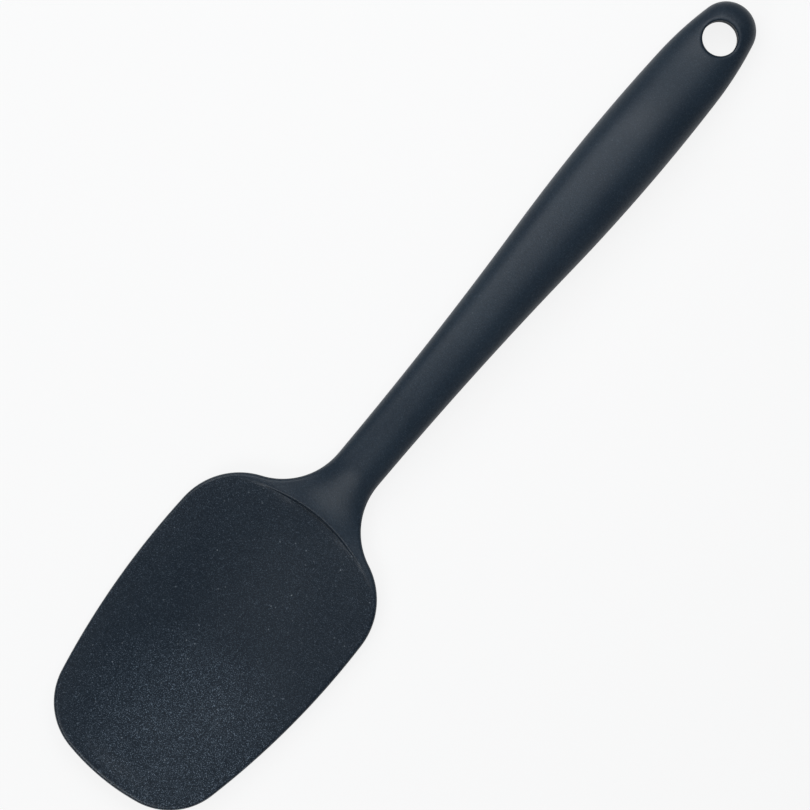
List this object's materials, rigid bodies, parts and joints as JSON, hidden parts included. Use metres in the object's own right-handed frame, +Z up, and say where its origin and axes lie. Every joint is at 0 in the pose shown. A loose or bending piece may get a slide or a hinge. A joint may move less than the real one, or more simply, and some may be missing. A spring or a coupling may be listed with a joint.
{
  "type": "silicone spatula",
  "caption": "Seamless dark blue-charcoal silicone spatula with a dished, spoon-like blade, slim neck, rounded grip and hanging hole, moulded over a stiff nylon core.",
  "frame": {"origin": "middle of the object's box in plan, on the plane that it rests on", "axes": "+Y along the spatula from the blade's tip to the handle end, +Z up with the dish facing up, +X across"},
  "size_m": [0.065, 0.28, 0.0183],
  "materials": {
    "silicone": "matte",
    "nylon": "matte, glass filled"
  },
  "bodies": {
    "root": {"silicone_body": "silicone", "nylon_core": "nylon"}
  },
  "joints": []
}
